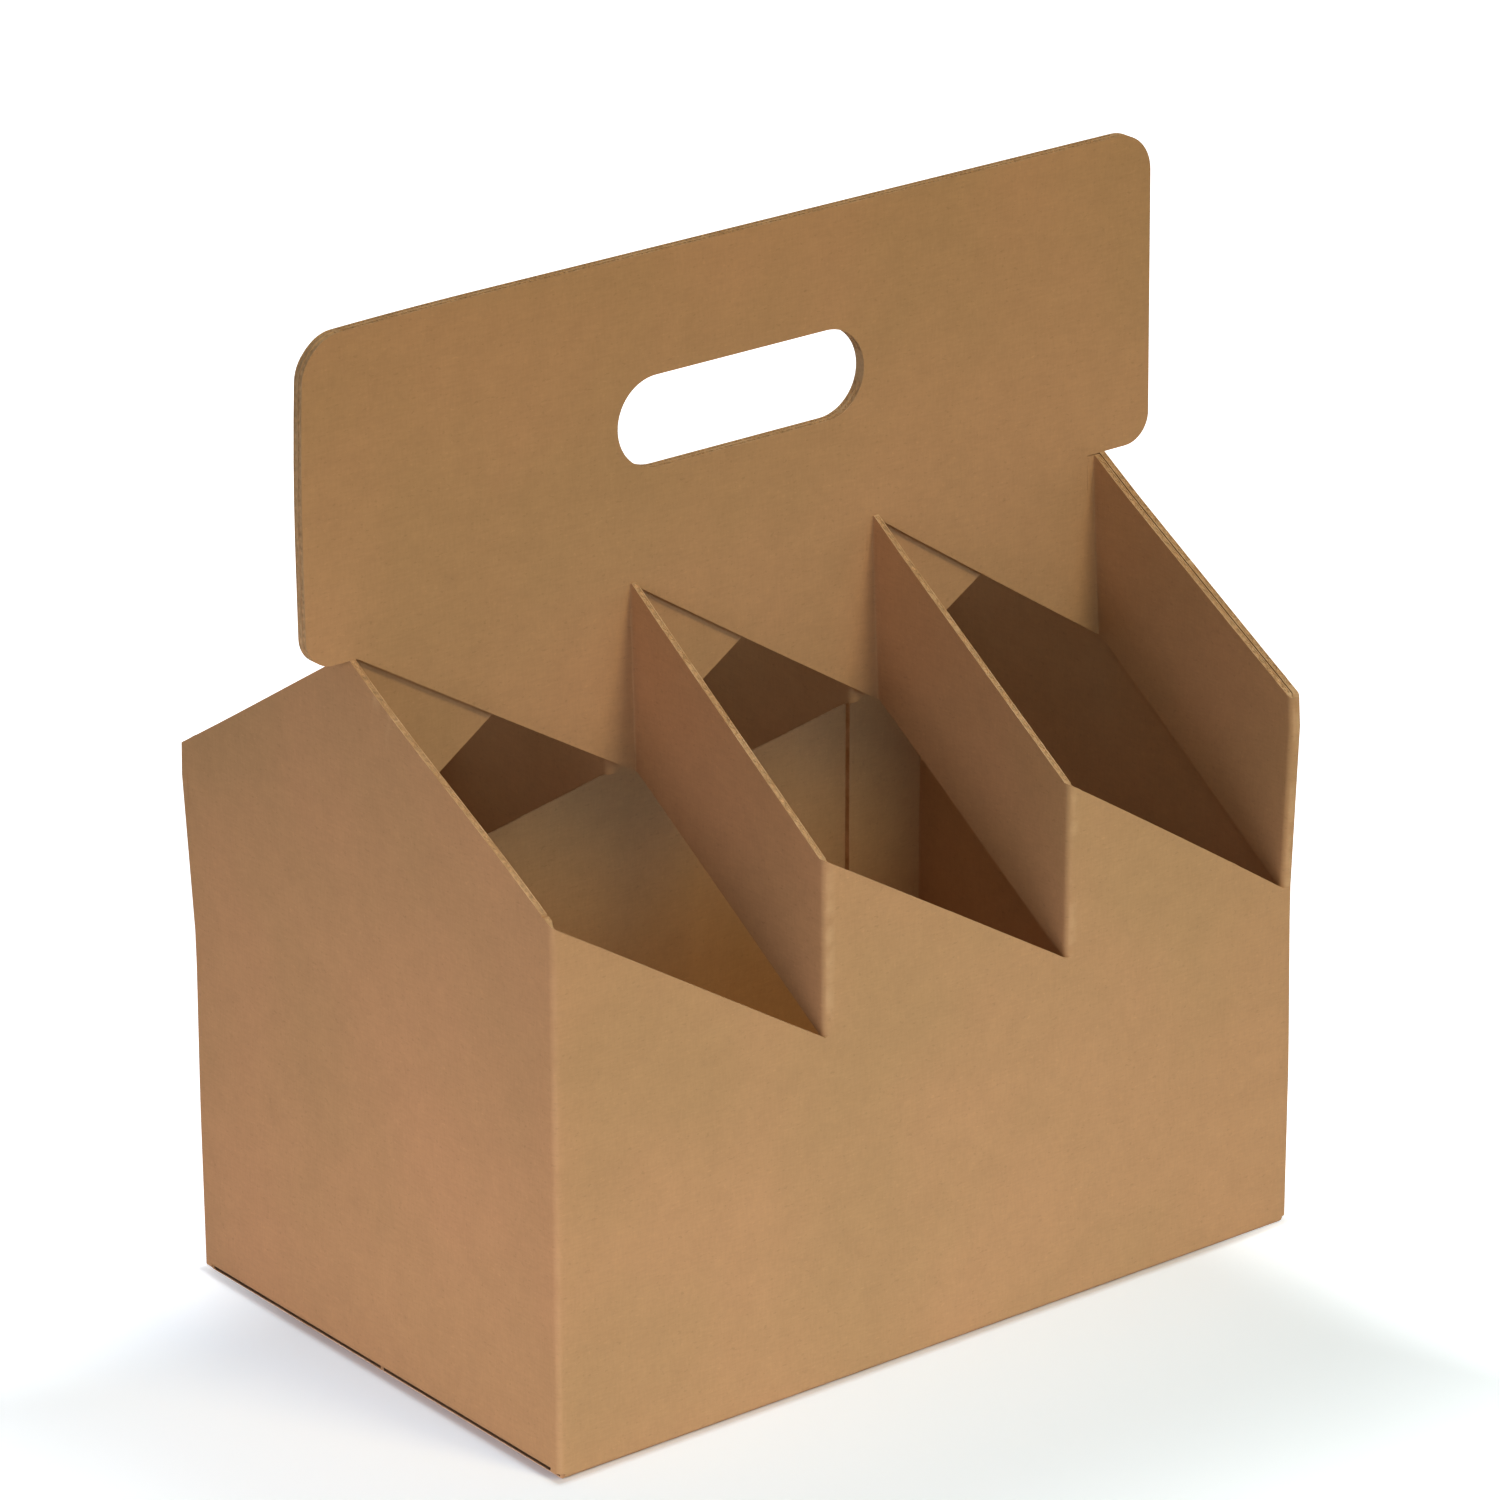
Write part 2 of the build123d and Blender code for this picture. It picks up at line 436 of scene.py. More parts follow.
def settle_piece(piece):
    """Finish a piece: rubbed folds, smooth shading across them, and its place in the carton."""
    p = plan()

    def at_fold(place):
        near = RUBBED_SHARE * p.fold
        sides = (abs(place.x) > p.right - near, abs(place.y) > p.back - near, place.z < near)
        return abs(place.x) < p.right + NEAR and sum(sides) > 1

    edit(piece)
    bpy.ops.mesh.select_all(action="SELECT")
    bpy.ops.mesh.dissolve_degenerate(threshold=NEAR / 10)
    bpy.ops.mesh.select_all(action="SELECT")
    bpy.ops.mesh.normals_make_consistent(inside=False)
    rub(piece, RUBBED_FOLD, at_fold)
    bpy.ops.object.shade_smooth_by_angle(angle=SMOOTH_ANGLE)
    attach(piece, "root")
    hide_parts("carrier")
    return piece


def copy_piece(piece, name, move=(0, 0, 0), half_turn=False):
    """A copy with its own mesh, moved or carried to the opposite side."""
    take(piece)
    bpy.ops.object.duplicate()
    twin = bpy.context.object
    twin.name = twin.data.name = name
    twin.location = move
    twin.rotation_euler = (0, 0, math.pi if half_turn else 0)
    bpy.ops.object.transform_apply(location=True, rotation=True, scale=True)
    return twin


# Finishes


def node(tree, kind, inputs=None, **settings):
    """Add a node, with its settings and with a value or another node's output on each input."""
    made = tree.nodes.new(kind)
    for name, value in settings.items():
        setattr(made, name, value)
    for name, value in (inputs or {}).items():
        if isinstance(value, bpy.types.NodeSocket):
            tree.links.new(value, made.inputs[name])
        else:
            made.inputs[name].default_value = value
    return made


def math_node(tree, operation, *values):
    """A sum, product or other arithmetic of values and sockets."""
    return node(tree, "ShaderNodeMath", dict(enumerate(values)), operation=operation).outputs[0]


def vector_node(tree, operation, *values, output="Vector"):
    """Arithmetic of vectors and sockets."""
    return node(tree, "ShaderNodeVectorMath", dict(enumerate(values)), operation=operation).outputs[output]


def grain(tree, place, scale, stretch=(1, 1, 1), turn=(0, 0, 0), detail=2.0):
    """Noise about zero, stretched and turned, at so many waves to the metre."""
    mapped = node(tree, "ShaderNodeMapping", {"Vector": place, "Scale": stretch, "Rotation": turn})
    inputs = {"Vector": mapped.outputs[0], "Scale": scale, "Detail": detail}
    noise = node(tree, "ShaderNodeTexNoise", inputs)
    return math_node(tree, "SUBTRACT", noise.outputs["Fac"], 0.5)


def step_up(tree, value, start, end):
    """Rises smoothly from 0 to 1 as a value goes from start to end."""
    inputs = {"Value": value, "From Min": start, "From Max": end}
    return node(tree, "ShaderNodeMapRange", inputs, interpolation_type="SMOOTHSTEP").outputs["Result"]


def shade(tree, tone, amount):
    """A colour made lighter or darker by a share of itself."""
    factor = math_node(tree, "ADD", amount, 1.0)
    return node(tree, "ShaderNodeVectorMath", {0: tone, "Scale": factor}, operation="SCALE").outputs[0]


def blend(tree, share, first, second):
    """A mix of two colours."""
    made = node(tree, "ShaderNodeMix", {"Factor": share}, data_type="RGBA")
    for socket, value in zip([s for s in made.inputs if s.type == "RGBA"], (first, second)):
        if isinstance(value, bpy.types.NodeSocket):
            tree.links.new(value, socket)
        else:
            socket.default_value = (*value, 1)
    return next(s for s in made.outputs if s.type == "RGBA")


def weighted(tree, *pairs):
    """The sum of several values, each times its weight."""
    total = math_node(tree, "MULTIPLY", *pairs[0])
    for value, weight in pairs[1:]:
        total = math_node(tree, "MULTIPLY_ADD", value, weight, total)
    return total


def new_finish(name, roughness):
    """A material with a matt shader, its tree, and its place on the carton."""
    made = bpy.data.materials.new(name)
    made.use_nodes = True
    tree = made.node_tree
    shader = tree.nodes["Principled BSDF"]
    shader.inputs["Roughness"].default_value = roughness
    shader.inputs["Specular IOR Level"].default_value = 0.2
    place = tree.nodes.new("ShaderNodeTexCoord").outputs["Object"]
    return made, tree, shader, place


def kraft_liner():
    """Uncoated kraft facing: fibres, mottling, flecks, rubbed folds, a faint washboard over the flutes."""
    c, p = bpy.context.scene.carton_colours, plan()
    made, tree, shader, place = new_finish("kraft_liner", 0.86)
    along = grain(tree, place, 1.0, stretch=(260, 260, 1500), detail=3.0)
    across = grain(tree, place, 1.0, stretch=(1300, 1300, 330), turn=(0.3, 0.3, 0.2), detail=3.0)
    mottle = grain(tree, place, 130.0, detail=4.0)
    cloud = grain(tree, place, 11.0, detail=4.0)
    fleck = grain(tree, place, 1.0, stretch=(620, 620, 1100), turn=(0.6, 0.4, 0.0), detail=1.0)
    dark = step_up(tree, fleck, 0.17, 0.25)
    pale = step_up(tree, fleck, -0.18, -0.26)
    tone = blend(tree, step_up(tree, cloud, -0.16, 0.16), tuple(c.liner), tuple(c.liner_warm))
    amount = weighted(tree, (along, 0.16), (across, 0.14), (mottle, 0.16), (cloud, 0.14),
                      (dark, -0.10), (pale, 0.07))
    tone = shade(tree, tone, amount)
    wear = node(tree, "ShaderNodeAttribute", attribute_name="wear").outputs["Fac"]
    rubbed = math_node(tree, "MULTIPLY", wear, step_up(tree, mottle, -0.12, 0.14))
    tone = blend(tree, math_node(tree, "MULTIPLY", rubbed, 0.5), tone, tuple(c.cut))
    tree.links.new(tone, shader.inputs["Base Color"])
    axes = node(tree, "ShaderNodeSeparateXYZ", {0: place})
    run = math_node(tree, "ADD", axes.outputs["X"], axes.outputs["Y"])
    wave = math_node(tree, "SINE", math_node(tree, "MULTIPLY", run, 2 * math.pi / p.flute))
    height = weighted(tree, (along, 0.5), (across, 0.45), (mottle, 0.6), (wave, 0.05))
    bump = node(tree, "ShaderNodeBump", {"Strength": 0.35, "Distance": 0.1 * MM, "Height": height})
    tree.links.new(bump.outputs[0], shader.inputs["Normal"])
    return made


def kraft_cut_edge():
    """Raw cut edge of the facings and the medium, paler than the facing."""
    c = bpy.context.scene.carton_colours
    made, tree, shader, place = new_finish("kraft_cut_edge", 0.95)
    fibre = grain(tree, place, 900.0, detail=2.0)
    patch = grain(tree, place, 120.0, detail=3.0)
    tone = blend(tree, step_up(tree, patch, -0.15, 0.2), tuple(c.cut), tuple(c.liner))
    tone = shade(tree, tone, weighted(tree, (fibre, 0.4), (patch, 0.2)))
    tree.links.new(tone, shader.inputs["Base Color"])
    bump = node(tree, "ShaderNodeBump", {"Strength": 0.5, "Distance": 0.1 * MM, "Height": fibre})
    tree.links.new(bump.outputs[0], shader.inputs["Normal"])
    return made


def flute_hollow():
    """Fluted paper inside the board, where a cut edge opens it, darkened with painted shade where the wear
    attribute is negative.
    """
    c = bpy.context.scene.carton_colours
    made, tree, shader, place = new_finish("flute_hollow", 0.95)
    fibre = grain(tree, place, 700.0, detail=2.0)
    wear = node(tree, "ShaderNodeAttribute", attribute_name="wear").outputs["Fac"]
    # painted shade: negative wear blends the hollow towards the painted-shade colour
    tone = blend(tree, math_node(tree, "MULTIPLY", wear, -1.0), tuple(c.hollow), tuple(c.soil))
    tree.links.new(shade(tree, tone, fibre), shader.inputs["Base Color"])
    return made


# The fields of the sheet


def long_wall(name, glued):
    """The front wall with its corner folds and half of the bottom; a glued one has a cut end instead."""
    p = plan()
    first = p.left if glued else p.left + p.fold
    piece = start_field(name, FRONT, (first, p.right - p.fold), (p.fold, p.corner + p.tab), p.front)
    if not glued:
        turn_edge(piece, lambda place: place.x < first + NEAR,
                  (p.left + p.fold, p.front + p.fold, 0), (0, 0, 1), QUARTER)
        run_on((0, p.tab, 0))
    turn_edge(piece, lambda place: abs(place.x - p.right + p.fold) < NEAR,
              (p.right - p.fold, p.front + p.fold, 0), (0, 0, 1), -QUARTER)
    run_on((0, p.tab, 0))
    split(piece, (0, 0, p.dip), (0, 0, 1))
    for fold in p.folds:
        split(piece, (fold, 0, 0), (1, 0, 0))
        split(piece, (fold + p.hinge, 0, 0), (1, 0, 0))
        drop(piece, lambda place: fold < place.x < fold + p.hinge and place.z > p.dip)
    split(piece, (p.end_strap, 0, 0), (1, 0, 0))
    drop(piece, lambda place: place.x > p.end_strap and place.z > p.dip)
    cut_off(piece, (p.left, p.front, p.corner), ((p.corner - p.dip) / p.end_cell, -p.gable, 1),
            lambda place: place.x < p.folds[0] and place.z > p.dip)
    for start, stop in zip(p.folds, p.stops[1:]):
        trim(piece, (start, 0, p.strap), (stop, 0, p.dip), (0, 1, 0), True,
             lambda place: start - NEAR < place.x < stop and place.y < p.front + p.fold)
    turn_edge(piece, lambda place: abs(place.z - p.fold) < NEAR and place.y < p.front + NEAR,
              (0, p.front + p.fold, p.fold), (1, 0, 0), -QUARTER)
    run_on((0, p.back - p.fold - p.seam / 2, 0))
    give_thickness(piece)
    open_flutes(piece, 0, lambda place: place.y - p.front,
                lambda place, normal: SLANTED < normal.z < STRAIGHT and place.z > p.dip)
    # painted shade: the channels at the bottom flaps' ends are darkened into the dark line at the foot
    for face in (-1, 1):
        groove_edge(piece, p.channel, 1.0, lambda place, normal: normal.x * face > MAINLY
                    and place.z < p.board and place.y > p.front + p.fold)
    groove_edge(piece, p.hollow, 0.0, lambda place, normal: normal.x < -MAINLY
                and place.x < p.left + NEAR and place.z > p.fold)
    return piece


def gable_end(name):
    """The left end with its gable, and the end flap of the bottom."""
    p = plan()
    side = p.back - p.hinge
    piece = start_field(name, LEFT, (-side, side), (p.board + p.fold, p.apex), p.left)
    for face in (-1, 1):
        trim(piece, (0, face * p.back, p.corner), (0, face * p.board, p.apex), (1, 0, 0), True,
             lambda place: place.y * face > 0)
    turn_edge(piece, lambda place: place.z < p.board + p.fold + NEAR,
              (p.left + p.fold, 0, p.board + p.fold), (0, 1, 0), QUARTER)
    reach = p.flap_reach + p.board - p.fold
    run_on((reach, 0, 0))
    for face in (-1, 1):
        cut_off(piece, (p.left + p.fold, face * side, 0), (p.flap_taper, face * reach, 0),
                lambda place: place.z < p.board + NEAR and place.x > p.left + p.fold)
    give_thickness(piece)
    open_flutes(piece, 1, lambda place: place.x - p.left,
                lambda place, normal: SLANTED < normal.z < STRAIGHT and place.z > p.corner - p.board)
    return piece


def strap(name, fold, cell, front_turn, tip):
    """A strap: out of its wall or end, across to the middle, and round into the handle."""
    p = plan()
    start, stop = p.front + p.fold, p.crown
    piece = start_field(name, LEFT, (start, stop), (p.dip, p.apex), fold)
    turn_edge(piece, lambda place: place.y < start + NEAR,
              (fold + p.fold, start, 0), (0, 0, 1), -front_turn)
    run_on((p.tab, 0, 0) if front_turn == QUARTER else (0, p.tab, 0))
    if front_turn == QUARTER:
        trim(piece, (0, start, tip), (0, stop, p.apex), (1, 0, 0), True, lambda place: place.y > start)
        trim(piece, (fold, 0, p.strap), (fold + cell, 0, p.dip), (0, 1, 0), True,
             lambda place: place.y < start)
    else:
        trim(piece, (0, p.front, tip), (0, -p.board, p.apex), (1, 0, 0), True)
    trim(piece, (0, start, p.dip), (0, stop, p.strap), (1, 0, 0), False,
         lambda place: place.x < fold + NEAR)
    turn_edge(piece, lambda place: abs(place.y - stop) < NEAR,
              (fold - p.crease, stop, 0), (0, 0, 1), -QUARTER)
    run_on((-p.tab, 0, 0))
    trim(piece, (fold, 0, p.strap), (fold - cell, 0, p.apex), (0, 1, 0), False,
         lambda place: place.y > stop)
    give_thickness(piece)
    open_flutes(piece, 1, lambda place: place.x - fold,
                lambda place, normal: abs(normal.z) > SLANTED and start < place.y < stop
                and abs(place.x - fold - p.board / 2) < p.board)
    return piece


def handle_ply(name):
    """The front ply of the handle, with ears, a finger slot and a lower edge cut in teeth."""
    p = plan()
    reach = p.span / 2
    piece = start_field(name, FRONT, (-reach, reach), (p.strap, p.top), -p.board, columns=False)
    split(piece, (0, 0, p.apex), (0, 0, 1))
    cuts = [p.left] + [place for stop in p.stops for place in (stop - p.crease - p.tab, stop)]
    for cut in cuts:
        split(piece, (cut, 0, 0), (1, 0, 0), lambda place: place.z < p.apex)
    drop(piece, lambda place: place.z < p.apex and not p.left < place.x < p.end_strap)
    start = p.left
    for stop in p.stops:
        drop(piece, lambda place: place.z < p.apex and stop - p.crease - p.tab < place.x < stop)
        trim(piece, (start, 0, p.apex), (stop, 0, p.strap), (0, 1, 0), False,
             lambda place: place.z < p.apex and start < place.x < stop)
        start = stop
    for level, radius in ((p.top, p.ear_top), (p.apex, p.ear_low)):
        pick(piece, "VERT",
             lambda vertex: abs(vertex.co.z - level) < NEAR and abs(vertex.co.x) > reach - NEAR)
        bpy.ops.mesh.bevel(offset=radius, segments=p.round_steps, affect="VERTICES")
    grid_lines(piece, 0, -reach, reach, p.flute / 2)
    grid_lines(piece, 2, p.strap, p.top, p.row)
    give_thickness(piece)
    finger_slot(piece)
    level = p.top - p.slot_drop
    straight = (p.slot_length - p.slot_height) / 2
    seams = [stop - p.crease - p.tab for stop in p.stops]

    def joins_strap(place):
        return any(seam - NEAR < place.x < stop + NEAR and place.z < p.apex + NEAR
                   for seam, stop in zip(seams, p.stops))

    grid_lines(piece, 0, -straight, straight, p.flute / 2,
               lambda place: abs(place.x) < straight and abs(place.z - level) < p.slot_height / 2 + NEAR)
    open_flutes(piece, 0, lambda place: place.y + p.board,
                lambda place, normal: abs(normal.z) > SLANTED and not joins_strap(place)
                and abs(place.x) < reach - p.ear_top)
    groove_edge(piece, p.hollow, 0.0, lambda place, normal: abs(normal.y) < HARDLY
                and not joins_strap(place) and abs(place.x) > reach - p.ear_top)
    return piece


def glue_flap(name):
    """The glue flap, built as if it turned from the left end onto the inside of the front wall."""
    p = plan()
    root, wall = p.left + p.fold, p.front + p.board
    foot, far = p.board + p.fold, p.left + p.glue_width
    fall = p.glue_width * (p.corner - p.dip) / p.end_cell + p.glue_margin
    piece = start_field(name, FRONT, (root, far), (foot, p.corner + p.tab), wall)
    turn_edge(piece, lambda place: place.x < root + NEAR, (root, wall + p.fold, 0), (0, 0, 1), QUARTER)
    run_on((0, p.front + p.hinge - wall - p.fold, 0))
    trim(piece, (root, 0, p.corner), (far, 0, p.corner - fall), (0, 1, 0), True,
         lambda place: place.x > root - p.fold / 2)
    trim(piece, (0, p.front, p.corner), (0, -p.board, p.apex), (1, 0, 0), True,
         lambda place: place.x < root - p.fold / 2)
    trim(piece, (root, 0, foot), (far, 0, foot + p.glue_margin + p.glue_taper), (0, 1, 0), False,
         lambda place: place.x > root)
    give_thickness(piece)
    return piece


def tongue(name):
    """A locking tongue: up over the seam from its own flap, and flat on the other."""
    p = plan()
    stop = p.right - p.board - p.flap_reach - p.tongue_gap
    piece = start_field(name, DOWN, (p.tongue_gap, stop), (-p.tongue_root, p.tongue_reach), p.board)
    for corner, lean in ((p.tongue_gap, -1), (stop, 1)):
        cut_off(piece, (corner - lean * p.tongue_taper, p.tongue_reach, p.board), (lean, 1, 0))
    pick(piece, "EDGE", lambda part: part.is_boundary and middle(part).y < NEAR - p.tongue_root)
    ramp = 3 * p.board
    run_on((0, -ramp, NEAR - p.board))
    give_thickness(piece)
    open_flutes(piece, 0, lambda place: place.z - p.board, lambda place, normal: normal.y > SLANTED)
    return piece


def finger_slot(piece):
    """Punch the finger slot with a round-ended block."""
    p = plan()
    level = p.top - p.slot_drop
    clear_selection()
    bpy.ops.mesh.primitive_cube_add(size=1, location=(0, 0, level))
    punch = bpy.context.object
    punch.scale = (p.slot_length, 4 * p.board, p.slot_height)
    bpy.ops.object.transform_apply(location=True, rotation=True, scale=True)
    edit(punch)
    pick(punch, "EDGE", lambda part: abs(part.verts[0].co.y - part.verts[1].co.y) > p.board)
    bpy.ops.mesh.bevel(offset=p.slot_height / 2 - NEAR, segments=p.round_steps, affect="EDGES")
    take(piece)
    bpy.ops.object.modifier_add(type="BOOLEAN")
    cut = piece.modifiers[-1]
    cut.operation = "DIFFERENCE"
    cut.object = punch
    bpy.ops.object.modifier_apply(modifier=cut.name)
    take(punch)
    bpy.ops.object.delete()
    edit(piece)
    pick(piece, "FACE", lambda face: abs(face.normal.y) < HARDLY
         and abs(middle(face).x) < p.slot_length / 2 + NEAR
         and abs(middle(face).z - level) < p.slot_height / 2 + NEAR)
    piece.active_material_index = CUT
    bpy.ops.object.material_slot_assign()


def bow_gable(piece, held=nowhere):
    """Bow the left end, or a piece that lies on it, outwards at the gable's tip; some places stay."""
    p = plan()
    inner = p.left + 2 * p.board + NEAR
    edit(piece)
    pick(piece, "VERT", lambda vertex: held(vertex.co))
    bpy.ops.mesh.hide()
    pick(piece, "VERT", lambda vertex: vertex.co.z > p.apex - p.board and vertex.co.x < inner)
    bpy.ops.transform.translate(value=(-p.bow, 0, 0), use_proportional_edit=True,
                                proportional_edit_falloff="SMOOTH", proportional_size=p.back - p.hinge)
    bpy.ops.mesh.reveal(select=False)
    take(piece)


# The steps that a user runs


class CARTON_OT_long_walls(bpy.types.Operator):
    """Fold the front wall and the back wall, each with its half of the bottom"""
    bl_idname = "carton.long_walls"
    bl_label = "Long walls"

    def execute(self, context):
        settle_piece(long_wall("front_wall", False))
        settle_piece(copy_piece(long_wall("back_wall_start", True), "back_wall", half_turn=True))
        take(bpy.data.objects["back_wall_start"])
        bpy.ops.object.delete()
        return {"FINISHED"}


class CARTON_OT_ends(bpy.types.Operator):
    """Fold the two gabled ends with their bottom flaps"""
    bl_idname = "carton.ends"
    bl_label = "Gabled ends"

    def execute(self, context):
        p = plan()
        left = gable_end("left_end")
        settle_piece(copy_piece(left, "right_end", half_turn=True))
        settle_piece(left)
        for away in p.worn_spots:
            spot = Vector((p.left, -p.board - away, p.apex - away * p.gable))
            rub(left, WORN, lambda place: (place - spot).length < p.board)
        bow_gable(left)
        return {"FINISHED"}


class CARTON_OT_straps(bpy.types.Operator):
    """Fold the dividing straps and the straps along the ends"""
    bl_idname = "carton.straps"
    bl_label = "Straps"

    def execute(self, context):
        p = plan()
        pitch = p.folds[1] - p.folds[0]
        first = strap("front_strap_1", p.folds[0], pitch, QUARTER, p.strap)
        second = copy_piece(first, "front_strap_2", move=(pitch, 0, 0))
        along = strap("front_end_strap", p.end_strap, p.end_strap - p.folds[1], 2 * QUARTER, p.corner)
        for piece in (first, second, along):
            edge = min(vertex.co.x for vertex in piece.data.vertices if vertex.co.y < p.front + NEAR)
            corner = Vector((edge, p.front))
            rub(piece, RUBBED_STRAP, lambda place: (place.xy - corner).length < RUBBED_SHARE * p.fold)
            settle_piece(copy_piece(piece, piece.name.replace("front", "back"), half_turn=True))
            settle_piece(piece)
        tab_end = -p.end_strap + p.crease + p.tab
        bow_gable(bpy.data.objects["back_end_strap"], lambda place: place.x > tab_end - NEAR)
        return {"FINISHED"}


class CARTON_OT_handle(bpy.types.Operator):
    """Cut the two plies of the handle, and press in one upper corner"""
    bl_idname = "carton.handle"
    bl_label = "Handle"

    def execute(self, context):
        p = plan()
        ply = handle_ply("front_handle_ply")
        for piece in (copy_piece(ply, "back_handle_ply", half_turn=True), ply):
            settle_piece(piece)
            edit(piece)
            tip = Vector((-p.span / 2 + p.ear_top / 3, 0, p.top - p.ear_top / 3))
            pick(piece, "VERT", lambda vertex: (vertex.co - tip).xz.length < p.board)
            bpy.ops.transform.translate(value=p.blunt, use_proportional_edit=True,
                                        proportional_edit_falloff="SHARP", proportional_size=p.blunt_reach)
            take(piece)
        return {"FINISHED"}


class CARTON_OT_small_flaps(bpy.types.Operator):
    """Fold the glue flap and the two locking tongues of the bottom"""
    bl_idname = "carton.small_flaps"
    bl_label = "Glue flap and tongues"

    def execute(self, context):
        start = glue_flap("glue_flap_start")
        settle_piece(copy_piece(start, "glue_flap", half_turn=True))
        take(start)
        bpy.ops.object.delete()
        front = tongue("front_tongue")
        settle_piece(copy_piece(front, "back_tongue", half_turn=True))
        settle_piece(front)
        return {"FINISHED"}


class CARTON_OT_settle(bpy.types.Operator):
    """Lean the walls a little, as in a carton that has been carried"""
    bl_idname = "carton.settle"
    bl_label = "Settle"

    def execute(self, context):
        p = plan()
        pieces = [piece for piece in bpy.data.objects
                  if piece.type == "MESH" and "wear" in piece.data.attributes]
        clear_selection()
        bpy.ops.object.add(type="LATTICE", location=(0, 0, p.top / 2))
        cage = context.object
        cage.scale = (p.span, p.depth, p.top)
        cage.data.points_u, cage.data.points_v, cage.data.points_w = CAGE
        for axis in "uvw":
            setattr(cage.data, "interpolation_type_" + axis, "KEY_LINEAR")
        for point in cage.data.points:
            place = round((point.co.x + 0.5) * (CAGE[0] - 1))
            level = round((point.co.z + 0.5) * (CAGE[2] - 1))
            if 0 < level <= LEANING_ROWS:
                lean = p.front_lean if point.co.y < 0 else p.back_lean
                point.co_deform.x += lean[place + CAGE[0] * (level - 1)] / p.span
        for piece in pieces:
            take(piece)
            bpy.ops.object.modifier_add(type="LATTICE")
            piece.modifiers[-1].object = cage
            bpy.ops.object.modifier_apply(modifier=piece.modifiers[-1].name)
        take(cage)
        bpy.ops.object.delete()
        return {"FINISHED"}


# Stage


def add_lamp(name, place, aim, size):
    """A square lamp that points at a place, with the power, the spread and the colour of its name."""
    scene = bpy.context.scene
    clear_selection()
    bpy.ops.object.light_add(type="AREA", location=place)
    lamp = bpy.context.object
    lamp.name = lamp.data.name = name
    lamp.data.size = size
    lamp.data.energy = getattr(scene.carton_stage, name)
    lamp.data.spread = getattr(scene.carton_stage, name + "_spread")
    lamp.data.color = getattr(scene.carton_colours, name)
    lamp.rotation_euler = (Vector(aim) - Vector(place)).to_track_quat("-Z", "Y").to_euler()


def seen_directly(tree):
    """1 for a ray from the camera, a mirror or glass, and 0 for a ray that carries light."""
    path = tree.nodes.new("ShaderNodeLightPath").outputs
    seen = math_node(tree, "MAXIMUM", path["Is Camera Ray"], path["Is Glossy Ray"])
    return math_node(tree, "MAXIMUM", seen, path["Is Transmission Ray"])


def white_floor():
    """White floor lifted towards white by a painted glow seen only directly: the glow washes out the shadow
    to the right of, behind and away from the carton, keeps a grey shadow in front and on the left, and stops
    at the foot in a painted dark contact line.
    """
    stage, colours, p = bpy.context.scene.carton_stage, bpy.context.scene.carton_colours, plan()
    made, tree, shader, place = new_finish("white_floor", 1.0)
    shader.inputs["Base Color"].default_value = (*colours.floor, 1)
    shader.inputs["Specular IOR Level"].default_value = 0.0
    away = vector_node(tree, "SUBTRACT", vector_node(tree, "ABSOLUTE", place), (p.right, p.back, 0))
    away = vector_node(tree, "MAXIMUM", away, (0, 0, 0))
    away = vector_node(tree, "LENGTH", away, output="Value")
    axes = node(tree, "ShaderNodeSeparateXYZ", {0: place}).outputs
    # painted light: the far glow rises to the right, behind and away from the carton, over the lamps' shadow
    # there
    far = 0.0
    for k, value in enumerate((axes["X"], axes["Y"], away)):
        edge = stage.lift_edge[2 * k:2 * k + 2]
        far = math_node(tree, "MAXIMUM", far, step_up(tree, value, *edge))
    tint = blend(tree, far, tuple(colours.floor_lift), tuple(colours.backdrop))
    tree.links.new(tint, shader.inputs["Emission Color"])
    # painted shade: no glow right at the foot, a dark contact line
    near = step_up(tree, away, 0.0, stage.contact)
    painted_glow = weighted(tree, (near, stage.lift_near), (far, stage.lift_far))
    painted_glow = math_node(tree, "MULTIPLY", seen_directly(tree), painted_glow)
    tree.links.new(painted_glow, shader.inputs["Emission Strength"])
    return made


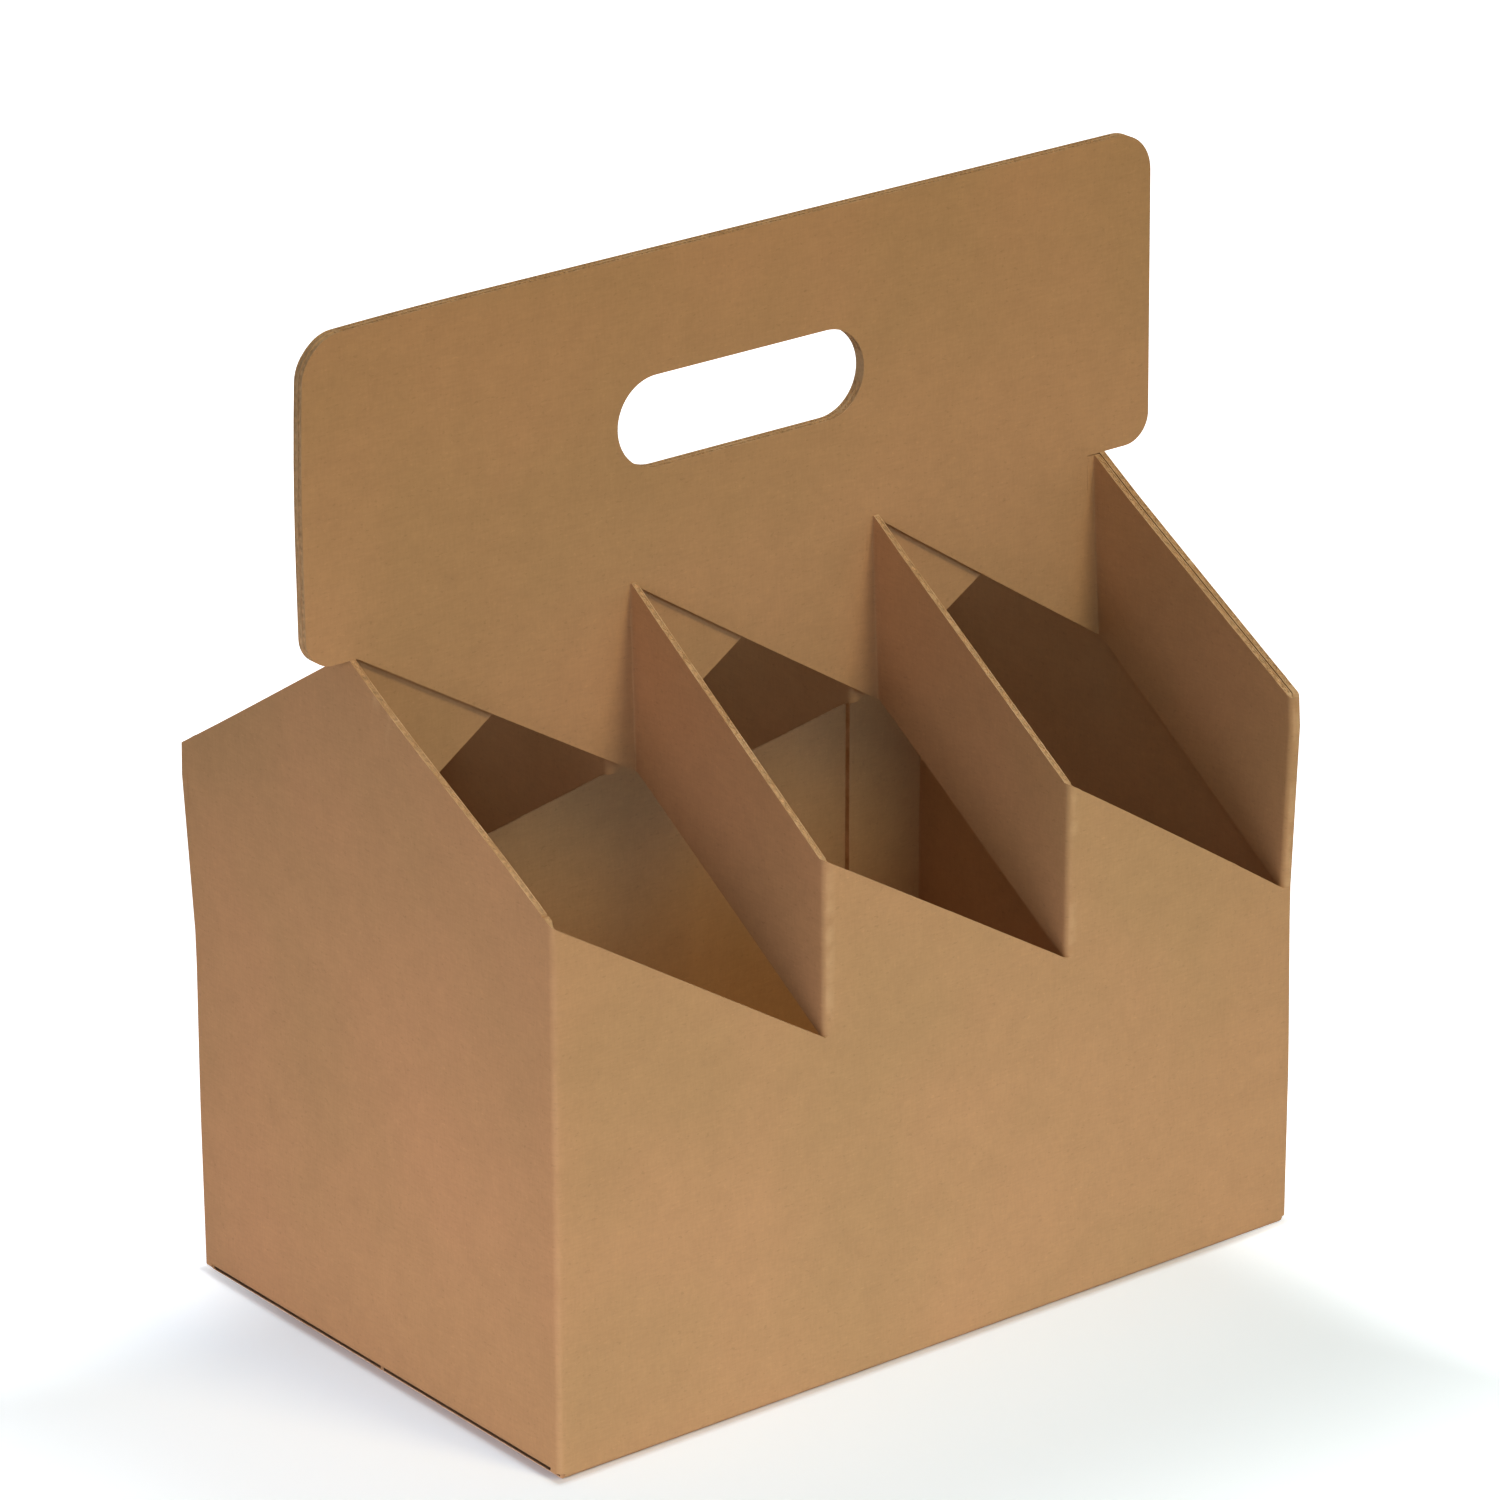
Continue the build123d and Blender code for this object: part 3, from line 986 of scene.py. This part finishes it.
class CARTON_OT_stage(bpy.types.Operator):
    """Set the floor, the lights and the camera"""
    bl_idname = "carton.stage"
    bl_label = "Stage"

    def execute(self, context):
        scene, stage = context.scene, context.scene.carton_stage
        scene.view_settings.view_transform = "Standard"
        clear_selection()
        bpy.ops.mesh.primitive_plane_add(size=stage.floor_size)
        floor = context.object
        floor.name = floor.data.name = "floor"
        floor.data.materials.append(white_floor())
        scene.world = bpy.data.worlds.new("studio")
        scene.world.use_nodes = True
        tree = scene.world.node_tree
        seen = seen_directly(tree)
        strength = node(tree, "ShaderNodeMapRange", {"Value": seen, "To Min": stage.ambient, "To Max": 1.0})
        tree.links.new(strength.outputs["Result"], tree.nodes["Background"].inputs["Strength"])
        tree.nodes["Background"].inputs["Color"].default_value = (*scene.carton_colours.backdrop, 1)
        for name, lamp in LAMPS.items():
            add_lamp(name, *lamp)
        bpy.ops.object.camera_add(location=stage.eye)
        camera = context.object
        camera.data.lens = stage.lens
        sight = (Vector(stage.aim) - Vector(stage.eye)).to_track_quat("-Z", "Y")
        camera.rotation_euler = (sight @ Quaternion((0, 0, 1), stage.roll)).to_euler()
        scene.camera = camera
        return {"FINISHED"}


class CARTON_PT_panel(bpy.types.Panel):
    """Sizes and steps of the carton"""
    bl_idname = "CARTON_PT_panel"
    bl_label = "Carry carton"
    bl_space_type = "VIEW_3D"
    bl_region_type = "UI"
    bl_category = "Carton"

    def draw(self, context):
        for step in STEPS:
            self.layout.operator(step.bl_idname)
        for group in (context.scene.carton_sizes, context.scene.carton_colours, context.scene.carton_stage):
            for name in type(group).__annotations__:
                self.layout.prop(group, name)


STEPS = (CARTON_OT_long_walls, CARTON_OT_ends, CARTON_OT_straps, CARTON_OT_handle,
         CARTON_OT_small_flaps, CARTON_OT_settle, CARTON_OT_stage)
CLASSES = (CartonSizes, CartonColours, CartonStage, *STEPS, CARTON_PT_panel)


def register():
    """Make the classes and their settings known."""
    for made in CLASSES:
        bpy.utils.register_class(made)
    bpy.types.Scene.carton_sizes = PointerProperty(type=CartonSizes)
    bpy.types.Scene.carton_colours = PointerProperty(type=CartonColours)
    bpy.types.Scene.carton_stage = PointerProperty(type=CartonStage)


def unregister():
    """Take them out again."""
    del bpy.types.Scene.carton_stage
    del bpy.types.Scene.carton_colours
    del bpy.types.Scene.carton_sizes
    for made in reversed(CLASSES):
        bpy.utils.unregister_class(made)


def main():
    """Build the carton step by step, and set the stage."""
    register()
    bpy.ops.carton.long_walls()
    bpy.ops.carton.ends()
    bpy.ops.carton.straps()
    bpy.ops.carton.handle()
    bpy.ops.carton.small_flaps()
    bpy.ops.carton.settle()
    bpy.ops.carton.stage()


if __name__ == "__main__":
    main()
